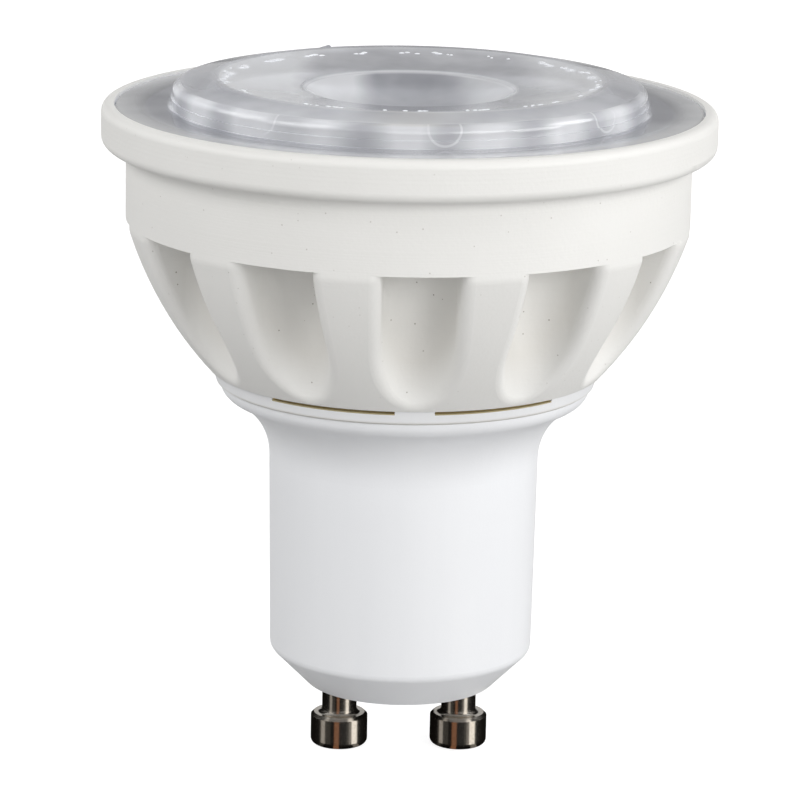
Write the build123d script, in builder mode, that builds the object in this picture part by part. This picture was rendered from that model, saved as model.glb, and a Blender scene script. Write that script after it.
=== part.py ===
from build123d import *
import math
import os

# LED spot lamp with a two-pin bayonet base, a die-cast heat sink and a clear collimator lens.
# Millimetres, +Z from the pins to the lens, origin midway between the end faces of the pin heads.

# Fits between pieces
push_fit = 0.05
lens_fit = 0.1
sink_fit = 0.1

# Bayonet pins, turned brass
pin_spacing = 10.0
pin_head_dia = 4.75
pin_head_height = 2.75
pin_head_round = 0.5
pin_head_chamfer = 0.25
pin_neck_dia = 2.9
pin_neck_length = 3.05
pin_foot_fillet = 0.4
pin_shank_dia = 2.3
pin_rivet_dia = 3.4
pin_rivet_height = 0.5
pin_bore_depth = 2.2

# Base housing, moulded
base_floor = 1.6
base_wall = 1.5
base_bevel = 3.0
base_lower_dia = 21.76
base_upper_dia = 22.2
base_tube_length = 16.2
base_bevel_round = 0.8
base_flare_radius = 5.6
base_lip_radius = 1.4
base_flange_dia = 30.44
base_socket_dia = 25.0
base_socket_depth = 1.45
guide_length = 14.0
guide_height_above_tube = 0.2
guide_wall = 1.0
guide_depth = 1.0
guide_seat = 0.6

# Driver cup, moulded, between base and heat sink
cup_flange_height = 1.27
cup_flange_step = 0.28
cup_flange_draft = 0.4
cup_seam_chamfer = 0.15
cup_spigot_wall = 1.25
cup_wall = 2.0
cup_height = 4.75
cup_roof = 0.9
vent_slot_height = 0.28
vent_slot_angle = 39.2
vent_slot_depth = 2.0
front_pad_angle = 11.5
cup_boss_dia = 4.4
cup_boss_inset = 1.0
cup_boss_angles = (-135, -45)

# Heat sink, die cast
sink_foot_step = 0.3
sink_side_radius = 32.0
sink_shoulder_height = 11.85
sink_shoulder_round = 1.5
sink_wall_height = 6.45
sink_floor = 2.7
rim_dia = 50.0
rim_height = 3.4
rim_overhang = 2.0
rim_lip = 1.05
rim_edge_round = 0.8
rim_lip_round = 0.7
rim_cove_radius = 1.0
sink_ledge = 2.35
sink_well_gap = 0.7
sink_well_bevel = 2.0
sink_shelf = 3.15
pocket_count = 12
pocket_wall = 1.65
pocket_round = 2.9
pocket_flank_angle = 4.0
pocket_rise = 0.45
pocket_edge_round = 0.9

# Lens, moulded clear plastic
lens_flange = 1.6
lens_flange_width = 4.45
lens_inset = 0.13
lens_edge_round = 0.2
drum_foot_height = 0.63
drum_foot_step = 0.15
drum_edge_height = 1.68
drum_shoulder_round = 0.7
ridge_inset = 3.4
ridge_height = 2.33
ridge_round = 0.25
dish_dia = 17.2
dish_height = 1.43
bowl_depth = 2.6
mirror_foot_dia = 16.4
mirror_foot_gap = 0.5
mirror_radius = 30.0
entry_dia = 12.4
entry_height = 5.6
entry_bulge = 1.0
facet_count = 18
facet_cut = 0.45

# LED board and emitter
pad_thickness = 0.3
led_board_dia = 28.4
led_board_thickness = 1.6
carrier_side = 13.5
carrier_thickness = 0.9
phosphor_dia = 11.0
phosphor_height = 0.4
phosphor_round = 0.15

# Screws
screw_dia = 2.4
screw_head_dia = 4.2
screw_head_height = 1.2
screw_head_round = 0.5
screw_slot_width = 0.6
screw_slot_depth = 0.6
board_screw_inset = 3.0
board_screw_length = 3.9
cup_screw_length = 5.6

# Driver board and its component legs
driver_edge_gap = 0.98
driver_headroom = 0.7
driver_thickness = 1.2
driver_offset = 2.0
leg_dia = 0.6
leg_bend = 0.8
leg_drop = 1.3
leg_stand_out = 0.3
component_gap = 0.35

# Electrolytic capacitors
can_bead = 0.9
can_groove = 0.5
can_groove_depth = 0.25
can_top_round = 0.4
input_can_dia = 6.3
input_can_length = 9.0
input_can_headroom = 1.0
input_leg_pitch = 2.5
output_can_dia = 5.0
output_can_length = 8.2
output_can_x = 0.9
output_can_headroom = 6.2
output_leg_pitch = 2.0

# Transformer
core_width = 8.4
core_depth = 4.0
core_height = 7.4
core_centre_leg = 2.2
core_yoke = 1.3
core_side_leg = 1.1
core_headroom = 0.6
bobbin_wall = 0.4
bobbin_flange = 0.7
bobbin_reach = 1.75
bobbin_pin_inset = 0.45
winding_margin = 0.35
winding_round = 0.9

# Choke, surge disc and fuse resistor
choke_dia = 5.0
choke_waist_dia = 2.6
choke_height = 4.6
choke_flange = 0.9
choke_headroom = 0.7
choke_leg_pitch = 2.2
surge_dia = 5.5
surge_thickness = 3.2
surge_edge_round = 0.9
surge_rise = 3.8
surge_leg_pitch = 3.6
fuse_dia = 2.3
fuse_length = 3.6
fuse_end_round = 0.6
fuse_rise = 4.0
fuse_leg_reach = 0.8

# Flat packages soldered to the back of the driver board
foot_reach = 0.75
foot_width = 0.45
foot_thickness = 0.2
pack_chamfer = 0.3
chip_width = 3.9
chip_length = 4.9
chip_height = 1.5
chip_rise = 6.2
chip_feet = 4
chip_foot_pitch = 1.27
bridge_width = 3.9
bridge_length = 4.7
bridge_height = 1.6
bridge_feet = 2
bridge_foot_pitch = 2.5
diode_width = 2.6
diode_length = 4.3
diode_height = 2.1
diode_tab_width = 1.5
diode_tab_reach = 0.5
diode_headroom = 7.0
resistor_width = 1.6
resistor_length = 3.2
resistor_height = 0.6
resistor_headroom = 1.0
resistor_pitch = 4.0
resistor_count = 3

# Wires
wire_dia = 1.0
mains_bend = 1.2
mains_wire_rise = 1.4
lead_bend = 3.0
lead_landing_bend = 0.9
lead_landing = 1.8
lead_spacing = 3.2
lead_drop = 2.2
lead_slot_length = 5.6
lead_slot_width = 2.4

os.makedirs("parts", exist_ok=True)

# Radii of the faces that pieces share, from the base's collar and socket, the LED board and the rim
spigot_r = base_socket_dia / 2 - push_fit
cup_bore_r = spigot_r - cup_spigot_wall
cup_r = cup_bore_r + cup_wall
cup_boss_radius = cup_bore_r - cup_boss_inset
cup_flange_lower_r = base_flange_dia / 2 + cup_flange_step
cup_flange_upper_r = cup_flange_lower_r + cup_flange_draft
sink_foot_r = cup_flange_upper_r + sink_foot_step
sink_body_r = rim_dia / 2 - rim_overhang
lens_r = rim_dia / 2 - rim_lip - lens_fit
ledge_r = lens_r - sink_ledge
drum_foot_r = lens_r - lens_flange_width
ridge_r = drum_foot_r - ridge_inset
well_r = led_board_dia / 2 + sink_well_gap
pocket_floor_r = well_r + pocket_wall
board_screw_radius = led_board_dia / 2 - board_screw_inset
lead_radius = cup_bore_r - lead_slot_width / 2
base_bore_r = base_lower_dia / 2 - base_wall

# Heights of the faces that pieces share
base_face_z = pin_head_height + pin_neck_length
floor_z = base_face_z + base_floor
tube_z = base_face_z + base_bevel
flare_z = tube_z + base_tube_length
flare_angle = math.acos(1 - (base_flange_dia - base_upper_dia) / 2 / (base_flare_radius + base_lip_radius))
cup_z = flare_z + (base_flare_radius + base_lip_radius) * math.sin(flare_angle)
sink_z = cup_z + cup_flange_height
cup_top_z = sink_z + cup_height
roof_z = cup_top_z - cup_roof
floor_under_z = cup_top_z + sink_fit
pad_z = floor_under_z + sink_floor
led_board_z = pad_z + pad_thickness
carrier_z = led_board_z + led_board_thickness
phosphor_z = carrier_z + carrier_thickness
shoulder_z = sink_z + sink_shoulder_height
pocket_z = shoulder_z + pocket_rise
rim_z = shoulder_z + sink_wall_height
rim_top_z = rim_z + rim_height
lens_z = rim_top_z - lens_inset
ledge_z = lens_z - lens_flange

# Driver board and the room for its components
driver_z = tube_z + guide_height_above_tube + guide_seat
driver_top_z = roof_z - driver_headroom
driver_width = 2 * (base_bore_r - driver_edge_gap)
driver_front = driver_offset - driver_thickness / 2
driver_back = driver_offset + driver_thickness / 2
leg_end_back = driver_back + leg_stand_out
leg_end_front = driver_front - leg_stand_out
guide_inner_x = driver_width / 2 + push_fit - guide_depth
component_x = guide_inner_x - component_gap
core_z = roof_z - core_headroom - core_height / 2
core_under_z = core_z - core_height / 2


def finish(part, label):
    part.label = label
    export_step(part, f"parts/{label}.step")


# Two bayonet pins, each a turned head on a neck, riveted over inside the base floor
def bayonet_pin(x):
    head_r = pin_head_dia / 2
    neck_r = pin_neck_dia / 2
    shank_r = pin_shank_dia / 2
    rivet_r = pin_rivet_dia / 2
    bore_r = wire_dia / 2 + push_fit
    rivet_z = floor_z + pin_rivet_height
    with BuildPart() as pin:
        with BuildSketch(Plane.XZ) as section:
            with BuildLine():
                Polyline(
                    (0, 0),
                    (head_r, 0),
                    (head_r, pin_head_height),
                    (neck_r, pin_head_height),
                    (neck_r, base_face_z),
                    (shank_r, base_face_z),
                    (shank_r, floor_z),
                    (rivet_r, floor_z),
                    (rivet_r, rivet_z),
                    (bore_r, rivet_z),
                    (bore_r, rivet_z - pin_bore_depth),
                    (0, rivet_z - pin_bore_depth),
                    close=True,
                )
            make_face()
            fillet(section.vertices().sort_by_distance((head_r, 0))[0], pin_head_round)
            chamfer(section.vertices().sort_by_distance((head_r, pin_head_height))[0], pin_head_chamfer)
            fillet(section.vertices().sort_by_distance((neck_r, pin_head_height))[0], pin_foot_fillet)
        revolve(axis=Axis.Z)
    return pin.part.moved(Location((x, 0, 0)))


finish(bayonet_pin(-pin_spacing / 2), "neutral_pin")
finish(bayonet_pin(pin_spacing / 2), "live_pin")

# Base housing: bevelled closed end, drafted tube, flared collar, and two channels for the driver board
base_face_r = base_lower_dia / 2 - base_bevel
floor_r = base_face_r + base_floor - base_wall * math.sqrt(2)
socket_z = cup_z - base_socket_depth
guide_z = tube_z + guide_height_above_tube
guide_y = driver_thickness / 2 + push_fit + guide_wall
with BuildPart() as base_housing:
    with BuildSketch(Plane.XZ) as base_section:
        with BuildLine():
            outline = Polyline(
                (0, floor_z),
                (0, base_face_z),
                (base_face_r, base_face_z),
                (base_lower_dia / 2, tube_z),
                (base_upper_dia / 2, flare_z),
            )
            flare = JernArc(outline @ 1, (0, 1), base_flare_radius, -math.degrees(flare_angle))
            lip = JernArc(flare @ 1, flare % 1, base_lip_radius, math.degrees(flare_angle))
            Polyline(
                lip @ 1,
                (base_socket_dia / 2, cup_z),
                (base_socket_dia / 2, socket_z),
                (cup_bore_r, socket_z),
                (base_bore_r, flare_z),
                (base_bore_r, floor_z + base_bore_r - floor_r),
                (floor_r, floor_z),
                (0, floor_z),
            )
        make_face()
        fillet(
            base_section.vertices().sort_by_distance((base_lower_dia / 2, tube_z))[0],
            base_bevel_round,
        )
    revolve(axis=Axis.Z)
    for side in (-1, 1):
        with BuildSketch(Plane.XY.offset(guide_z)):
            with Locations((side * guide_inner_x, driver_offset)):
                Rectangle(
                    base_bore_r + base_wall / 2 - guide_inner_x,
                    2 * guide_y,
                    align=(Align.MIN if side > 0 else Align.MAX, Align.CENTER),
                )
            with BuildSketch(mode=Mode.INTERSECT):
                Circle(base_bore_r + base_wall / 2)
        extrude(amount=guide_length)
    with BuildSketch(Plane.XY.offset(driver_z)):
        with Locations((0, driver_offset)):
            Rectangle(driver_width + 2 * push_fit, driver_thickness + 2 * push_fit)
    extrude(amount=guide_length, mode=Mode.SUBTRACT)
    with BuildSketch(Plane.XY.offset(base_face_z)):
        with GridLocations(pin_spacing, 0, 2, 1):
            Circle(pin_shank_dia / 2 + push_fit)
    extrude(amount=base_floor, mode=Mode.SUBTRACT)
finish(base_housing.part, "base_housing")

# Driver cup: spigot in the base, visible flange with shallow vent slots, closed cup inside the heat sink
screw_boss_places = [
    Vector(cup_boss_radius, 0).rotate(Axis.Z, angle)
    for angle in cup_boss_angles
]
with BuildPart() as driver_cup:
    with BuildSketch(Plane.XZ) as cup_section:
        with BuildLine():
            Polyline(
                (0, roof_z),
                (cup_bore_r, roof_z),
                (cup_bore_r, socket_z + push_fit),
                (spigot_r, socket_z + push_fit),
                (spigot_r, cup_z),
                (cup_flange_lower_r, cup_z),
                (cup_flange_upper_r, sink_z),
                (cup_r, sink_z),
                (cup_r, cup_top_z),
                (0, cup_top_z),
                close=True,
            )
        make_face()
        chamfer(
            cup_section.vertices().sort_by_distance((cup_flange_lower_r, cup_z))[0],
            cup_seam_chamfer,
        )
    revolve(axis=Axis.Z)
    with BuildSketch(Plane.XY.offset(sink_z)):
        with Locations(*screw_boss_places):
            Circle(cup_boss_dia / 2)
        with BuildSketch(mode=Mode.INTERSECT):
            Circle(cup_bore_r + cup_roof)
    extrude(until=Until.NEXT)
    for middle in (-90, 90):
        for side in (-1, 1):
            start = middle + side * (front_pad_angle / 2 + vent_slot_angle / 2) - vent_slot_angle / 2
            radial = Plane.XZ.rotated((0, 0, start))
            with BuildSketch(radial):
                with Locations((cup_flange_upper_r - vent_slot_depth, sink_z)):
                    Rectangle(2 * vent_slot_depth, vent_slot_height, align=(Align.MIN, Align.MAX))
            revolve(axis=Axis.Z, revolution_arc=vent_slot_angle, mode=Mode.SUBTRACT)
    with BuildSketch(Plane.XY.offset(sink_z)):
        with Locations(*screw_boss_places):
            Circle(screw_dia / 2 + push_fit)
    extrude(amount=cup_height, mode=Mode.SUBTRACT)
    with BuildSketch(Plane.XY.offset(roof_z)):
        with Locations((0, lead_radius)):
            SlotOverall(lead_slot_length, lead_slot_width)
    extrude(amount=cup_roof, mode=Mode.SUBTRACT)
finish(driver_cup.part, "driver_cup")

# Heat sink: turned form with a rim, then twelve pockets that run out towards the base
with BuildSketch() as pocket_outline:
    with BuildLine():
        floor_centre = pocket_floor_r + pocket_round
        floor_arc = CenterArc(
            (floor_centre, 0),
            pocket_round,
            90 + pocket_flank_angle,
            180 - 2 * pocket_flank_angle,
        )
        mouth_reach = rim_dia / 2 - (floor_arc @ 0).X
        mouth_half = (floor_arc @ 0).Y + mouth_reach * math.tan(math.radians(pocket_flank_angle))
        Polyline(floor_arc @ 1, (rim_dia / 2, -mouth_half), (rim_dia / 2, mouth_half), floor_arc @ 0)
    make_face()

with BuildPart() as heat_sink:
    with BuildSketch(Plane.XZ.rotated((0, 0, 180 / pocket_count))) as sink_section:
        with BuildLine():
            side_arc = RadiusArc(
                (sink_foot_r, sink_z),
                (sink_body_r, shoulder_z),
                -sink_side_radius,
            )
            Polyline(
                side_arc @ 1,
                (sink_body_r, rim_z),
                (rim_dia / 2, rim_z),
                (rim_dia / 2, rim_top_z),
                (lens_r + lens_fit, rim_top_z),
                (lens_r + lens_fit, ledge_z),
                (ledge_r, ledge_z),
                (ledge_r, shoulder_z + sink_shelf),
                (well_r + sink_well_bevel, shoulder_z + sink_shelf),
                (well_r, shoulder_z + sink_shelf - sink_well_bevel),
                (well_r, pad_z),
                (0, pad_z),
                (0, floor_under_z),
                (cup_r + sink_fit, floor_under_z),
                (cup_r + sink_fit, sink_z),
                side_arc @ 0,
            )
        make_face()
        fillet(sink_section.vertices().sort_by_distance((sink_body_r, shoulder_z))[0], sink_shoulder_round)
        fillet(sink_section.vertices().sort_by_distance((sink_body_r, rim_z))[0], rim_cove_radius)
        fillet(sink_section.vertices().sort_by_distance((rim_dia / 2, rim_z))[0], rim_edge_round)
        fillet(sink_section.vertices().sort_by_distance((rim_dia / 2, rim_top_z))[0], rim_lip_round)
    revolve(axis=Axis.Z)
    with BuildSketch(Plane.XY.offset(pocket_z)):
        with PolarLocations(0, pocket_count, start_angle=-90):
            add(pocket_outline.sketch)
    extrude(amount=sink_z - pocket_z, mode=Mode.SUBTRACT)
    turned_faces = heat_sink.faces().filter_by(lambda face: face.bounding_box().size.X > 2 * pocket_floor_r)
    pocket_edges = turned_faces.edges().filter_by(
        lambda edge: edge.geom_type != GeomType.CIRCLE and edge.bounding_box().max.Z < pocket_z + pocket_rise
    )
    fillet(pocket_edges, pocket_edge_round)
    with BuildSketch(Plane.XY.offset(floor_under_z)):
        with GridLocations(2 * board_screw_radius, 0, 2, 1):
            Circle(screw_dia / 2 + push_fit)
        with Locations(*screw_boss_places):
            Circle(screw_dia / 2 + push_fit)
        with Locations((0, lead_radius)):
            SlotOverall(lead_slot_length, lead_slot_width)
    extrude(amount=sink_floor, mode=Mode.SUBTRACT)
    with BuildSketch(Plane.XY.offset(pad_z)):
        with Locations(*screw_boss_places):
            Circle(screw_head_dia / 2 + lens_fit)
    extrude(amount=-screw_head_height - push_fit, mode=Mode.SUBTRACT)
finish(heat_sink.part, "heat_sink")

# Lens: flange on the heat sink's ledge, raised drum with a dished face, faceted mirror cone over the emitter
mirror_z = phosphor_z + mirror_foot_gap
mirror_foot = Vector(mirror_foot_dia / 2, mirror_z)
mirror_head = Vector(drum_foot_r, ledge_z)
mirror_chord = mirror_head - mirror_foot
mirror_sagitta = mirror_radius - math.sqrt(mirror_radius**2 - (mirror_chord.length / 2) ** 2)
mirror_normal = Vector(mirror_chord.Y, -mirror_chord.X).normalized()
facet_point = (mirror_foot + mirror_head) / 2 + mirror_normal * (mirror_sagitta - facet_cut)
facet_tilt = math.degrees(math.atan2(mirror_chord.X, mirror_chord.Y))
facet_length = 2.4 * math.sqrt(2 * mirror_radius * facet_cut)
facet_width = 2 * drum_foot_r * math.tan(math.pi / facet_count)
drum_wall_r = drum_foot_r - drum_foot_step
dish_z = lens_z + dish_height
bowl_radius = ((dish_dia / 2) ** 2 + bowl_depth**2) / (2 * bowl_depth)
bowl_sweep = math.degrees(math.asin(dish_dia / 2 / bowl_radius))
entry_z = mirror_z + entry_height
entry_radius = ((entry_dia / 2) ** 2 + entry_bulge**2) / (2 * entry_bulge)
with BuildPart() as lens:
    with BuildSketch(Plane.XZ) as lens_section:
        with BuildLine():
            bowl = JernArc((0, dish_z - bowl_depth), (1, 0), bowl_radius, bowl_sweep)
            Polyline(
                bowl @ 1,
                (ridge_r, lens_z + ridge_height),
                (drum_wall_r, lens_z + drum_edge_height),
                (drum_wall_r, lens_z + drum_foot_height),
                (drum_foot_r, lens_z + drum_foot_height),
                (drum_foot_r, lens_z),
                (lens_r, lens_z),
                (lens_r, ledge_z),
                mirror_head,
            )
            RadiusArc(mirror_head, mirror_foot, mirror_radius)
            Polyline(mirror_foot, (entry_dia / 2, mirror_z), (entry_dia / 2, entry_z))
            RadiusArc((entry_dia / 2, entry_z), (0, entry_z - entry_bulge), entry_radius)
            Line((0, entry_z - entry_bulge), (0, dish_z - bowl_depth))
        make_face()
        fillet(
            lens_section.vertices().sort_by_distance((ridge_r, lens_z + ridge_height))[0],
            ridge_round,
        )
        fillet(
            lens_section.vertices().sort_by_distance((drum_wall_r, lens_z + drum_edge_height))[0],
            drum_shoulder_round,
        )
        fillet(lens_section.vertices().sort_by_distance((lens_r, lens_z))[0], lens_edge_round)
    revolve(axis=Axis.Z)
    with PolarLocations(0, facet_count, start_angle=-90):
        with Locations(Location((facet_point.X, 0, facet_point.Y), (0, facet_tilt, 0))):
            Box(
                2 * facet_cut,
                facet_width,
                facet_length,
                align=(Align.MIN, Align.CENTER, Align.CENTER),
                mode=Mode.SUBTRACT,
            )
finish(lens.part, "lens")


# Round plates on the heat sink's floor, with screw holes and the slot that the leads come through
def floor_plate(diameter, thickness, z):
    with BuildPart() as plate:
        with BuildSketch(Plane.XY.offset(z)):
            Circle(diameter / 2)
            with GridLocations(2 * board_screw_radius, 0, 2, 1):
                Circle(screw_dia / 2 + push_fit, mode=Mode.SUBTRACT)
            with Locations((0, lead_radius)):
                SlotOverall(lead_slot_length, lead_slot_width, mode=Mode.SUBTRACT)
        extrude(amount=thickness)
    return plate.part


finish(floor_plate(led_board_dia, pad_thickness, pad_z), "thermal_pad")
finish(floor_plate(led_board_dia, led_board_thickness, led_board_z), "led_board")

# Square ceramic carrier with a round field of phosphor-filled silicone on it
with BuildPart() as chip_carrier:
    with BuildSketch(Plane.XY.offset(carrier_z)):
        Rectangle(carrier_side, carrier_side)
    extrude(amount=carrier_thickness)
finish(chip_carrier.part, "chip_carrier")

with BuildPart() as phosphor:
    with BuildSketch(Plane.XY.offset(phosphor_z)):
        Circle(phosphor_dia / 2)
    extrude(amount=phosphor_height)
    fillet(phosphor.faces().sort_by(Axis.Z)[-1].edges(), phosphor_round)
finish(phosphor.part, "phosphor_disc")


# Slotted pan-head screw, its head's underside at the origin
def pan_screw(length):
    with BuildPart() as screw:
        Cylinder(screw_head_dia / 2, screw_head_height, align=(Align.CENTER, Align.CENTER, Align.MIN))
        fillet(screw.faces().sort_by(Axis.Z)[-1].edges(), screw_head_round)
        Cylinder(screw_dia / 2, length, align=(Align.CENTER, Align.CENTER, Align.MAX))
        with Locations((0, 0, screw_head_height)):
            Box(
                screw_head_dia,
                screw_slot_width,
                screw_slot_depth,
                align=(Align.CENTER, Align.CENTER, Align.MAX),
                mode=Mode.SUBTRACT,
            )
    return screw.part


board_screw = pan_screw(board_screw_length)
with BuildPart() as board_screws:
    with GridLocations(2 * board_screw_radius, 0, 2, 1):
        with Locations((0, 0, carrier_z)):
            add(board_screw)
finish(board_screws.part, "board_screws")

cup_screw = pan_screw(cup_screw_length)
cup_screw_z = pad_z - screw_head_height - push_fit
with BuildPart() as cup_screws:
    with Locations(*[(place.X, place.Y, cup_screw_z) for place in screw_boss_places]):
        add(cup_screw)
finish(cup_screws.part, "cup_screws")

# Driver board, upright in the base's channels, drilled for every leg and wire
bobbin_y = driver_front - push_fit - core_depth / 2 - bobbin_reach
window_height = core_height - 2 * core_yoke
window_width = (core_width - core_centre_leg) / 2 - core_side_leg
bobbin_height = window_height - 2 * push_fit
bobbin_pin_rise = bobbin_height / 2 - bobbin_flange / 2
fuse_leg_pitch = fuse_length + 2 * fuse_leg_reach
mains_wire_z = driver_z + mains_wire_rise
lead_z = driver_top_z - lead_drop
flange_width = core_centre_leg + 2 * window_width - 2 * push_fit
bobbin_pin_pitch = flange_width - 2 * bobbin_pin_inset
input_can_x = input_can_dia / 2 - component_x
input_can_z = core_under_z - input_can_headroom - input_can_length
output_can_z = driver_top_z - output_can_headroom - output_can_length
choke_x = component_x - choke_dia / 2
choke_z = core_under_z - choke_headroom - choke_height
surge_x = component_x - surge_dia / 2
surge_z = driver_z + surge_rise
fuse_x = fuse_leg_pitch / 2 + leg_dia / 2 - component_x
fuse_z = driver_z + fuse_rise


def leg_pair(x, pitch, z):
    return [(x - pitch / 2, z), (x + pitch / 2, z)]


leg_places = [
    *leg_pair(input_can_x, input_leg_pitch, input_can_z - leg_drop),
    *leg_pair(output_can_x, output_leg_pitch, output_can_z - leg_drop),
    *leg_pair(choke_x, choke_leg_pitch, choke_z - leg_drop),
    *leg_pair(surge_x, surge_leg_pitch, surge_z - leg_drop),
    *leg_pair(fuse_x, fuse_leg_pitch, fuse_z),
    *leg_pair(0, bobbin_pin_pitch, core_z - bobbin_pin_rise),
    *leg_pair(0, bobbin_pin_pitch, core_z + bobbin_pin_rise),
]
wire_places = [*leg_pair(0, pin_spacing, mains_wire_z), *leg_pair(0, lead_spacing, lead_z)]
with BuildPart() as driver_board:
    with BuildSketch(Plane.XZ.offset(-driver_back)):
        with Locations((0, driver_z)):
            Rectangle(driver_width, driver_top_z - driver_z, align=(Align.CENTER, Align.MIN))
        with Locations(*leg_places):
            Circle(leg_dia / 2 + push_fit, mode=Mode.SUBTRACT)
        with Locations(*wire_places):
            Circle(wire_dia / 2 + push_fit, mode=Mode.SUBTRACT)
    extrude(amount=driver_thickness)
finish(driver_board.part, "driver_board")


# Tinned leg that leaves a component downwards and turns into the driver board
def bent_leg(x, y, z, board_z, y_end):
    with BuildPart() as leg:
        with BuildLine() as route:
            FilletPolyline((x, y, z), (x, y, board_z), (x, y_end, board_z), radius=leg_bend)
        with BuildSketch(Plane((x, y, z), z_dir=(0, 0, -1))):
            Circle(leg_dia / 2)
        sweep(path=route.line)
    return leg.part


# Electrolytic capacitor lying along the driver board, in front of it or behind it
def electrolytic(diameter, length, x, z, pitch, y, y_end):
    with BuildPart() as can:
        with Locations((x, y, z)):
            Cylinder(diameter / 2, length, align=(Align.CENTER, Align.CENTER, Align.MIN))
        fillet(can.faces().sort_by(Axis.Z)[-1].edges(), can_top_round)
        with BuildSketch(Plane((x, y, z + can_bead))):
            Circle(diameter / 2)
            Circle(diameter / 2 - can_groove_depth, mode=Mode.SUBTRACT)
        extrude(amount=can_groove, mode=Mode.SUBTRACT)
        for leg_x in (x - pitch / 2, x + pitch / 2):
            add(bent_leg(leg_x, y, z, z - leg_drop, y_end))
    return can.part


input_can_y = driver_front - push_fit - input_can_dia / 2
output_can_y = driver_back + push_fit + output_can_dia / 2
finish(
    electrolytic(
        input_can_dia,
        input_can_length,
        input_can_x,
        input_can_z,
        input_leg_pitch,
        input_can_y,
        leg_end_back,
    ),
    "input_capacitor",
)
finish(
    electrolytic(
        output_can_dia,
        output_can_length,
        output_can_x,
        output_can_z,
        output_leg_pitch,
        output_can_y,
        leg_end_front,
    ),
    "output_capacitor",
)

# Transformer: ferrite core with two windows, pinned bobbin on its middle leg, winding on the bobbin
window_x = core_centre_leg / 2 + window_width / 2
tube_width = core_centre_leg + 2 * push_fit + 2 * bobbin_wall
tube_depth = core_depth + 2 * push_fit + 2 * bobbin_wall
flange_depth = core_depth + 2 * bobbin_reach
with BuildPart() as core:
    with Locations((0, bobbin_y, core_z)):
        Box(core_width, core_depth, core_height)
        with Locations((-window_x, 0, 0), (window_x, 0, 0)):
            Box(window_width, core_depth, window_height, mode=Mode.SUBTRACT)
finish(core.part, "transformer_core")

with BuildPart() as bobbin:
    with Locations((0, bobbin_y, core_z)):
        Box(tube_width, tube_depth, bobbin_height)
        with Locations((0, 0, -bobbin_pin_rise), (0, 0, bobbin_pin_rise)):
            Box(flange_width, flange_depth, bobbin_flange)
        Box(
            core_centre_leg + 2 * push_fit,
            core_depth + 2 * push_fit,
            bobbin_height,
            mode=Mode.SUBTRACT,
        )
    with BuildSketch(Plane.XZ.offset(-leg_end_back)):
        with Locations(
            *leg_pair(0, bobbin_pin_pitch, core_z - bobbin_pin_rise),
            *leg_pair(0, bobbin_pin_pitch, core_z + bobbin_pin_rise),
        ):
            Circle(leg_dia / 2)
    extrude(amount=leg_end_back - driver_front + bobbin_flange)
finish(bobbin.part, "transformer_bobbin")

with BuildPart() as winding:
    with BuildSketch(Plane((0, bobbin_y, core_z - bobbin_height / 2 + bobbin_flange + push_fit))):
        RectangleRounded(
            flange_width - 2 * winding_margin,
            flange_depth - 2 * winding_margin,
            winding_round,
        )
        Rectangle(tube_width + 2 * push_fit, tube_depth + 2 * push_fit, mode=Mode.SUBTRACT)
    extrude(amount=bobbin_height - 2 * bobbin_flange - 2 * push_fit)
finish(winding.part, "transformer_winding")

# Choke: ferrite drum on two legs, with its copper in the waist
choke_y = driver_front - push_fit - choke_dia / 2
with BuildPart() as choke:
    with Locations((choke_x, choke_y, choke_z)):
        Cylinder(choke_dia / 2, choke_height, align=(Align.CENTER, Align.CENTER, Align.MIN))
    with BuildSketch(Plane((choke_x, choke_y, choke_z + choke_flange))):
        Circle(choke_dia / 2)
        Circle(choke_waist_dia / 2, mode=Mode.SUBTRACT)
    extrude(amount=choke_height - 2 * choke_flange, mode=Mode.SUBTRACT)
    for leg_x in (choke_x - choke_leg_pitch / 2, choke_x + choke_leg_pitch / 2):
        add(bent_leg(leg_x, choke_y, choke_z, choke_z - leg_drop, leg_end_back))
finish(choke.part, "choke_core")

with BuildPart() as choke_winding:
    with BuildSketch(Plane((choke_x, choke_y, choke_z + choke_flange + push_fit))):
        Circle(choke_dia / 2 - winding_margin)
        Circle(choke_waist_dia / 2 + push_fit, mode=Mode.SUBTRACT)
    extrude(amount=choke_height - 2 * choke_flange - 2 * push_fit)
finish(choke_winding.part, "choke_winding")

# Surge disc: coated varistor standing flat against the driver board
surge_y = driver_front - push_fit - surge_thickness / 2
surge_middle = surge_z + surge_dia / 2
with BuildPart() as surge:
    with BuildSketch(Plane.XZ.offset(push_fit - driver_front)):
        with Locations((surge_x, surge_middle)):
            Circle(surge_dia / 2)
    extrude(amount=surge_thickness)
    fillet(surge.edges().filter_by(GeomType.CIRCLE), surge_edge_round)
    for leg_x in (surge_x - surge_leg_pitch / 2, surge_x + surge_leg_pitch / 2):
        add(bent_leg(leg_x, surge_y, surge_middle, surge_z - leg_drop, leg_end_back))
finish(surge.part, "surge_disc")

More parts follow.
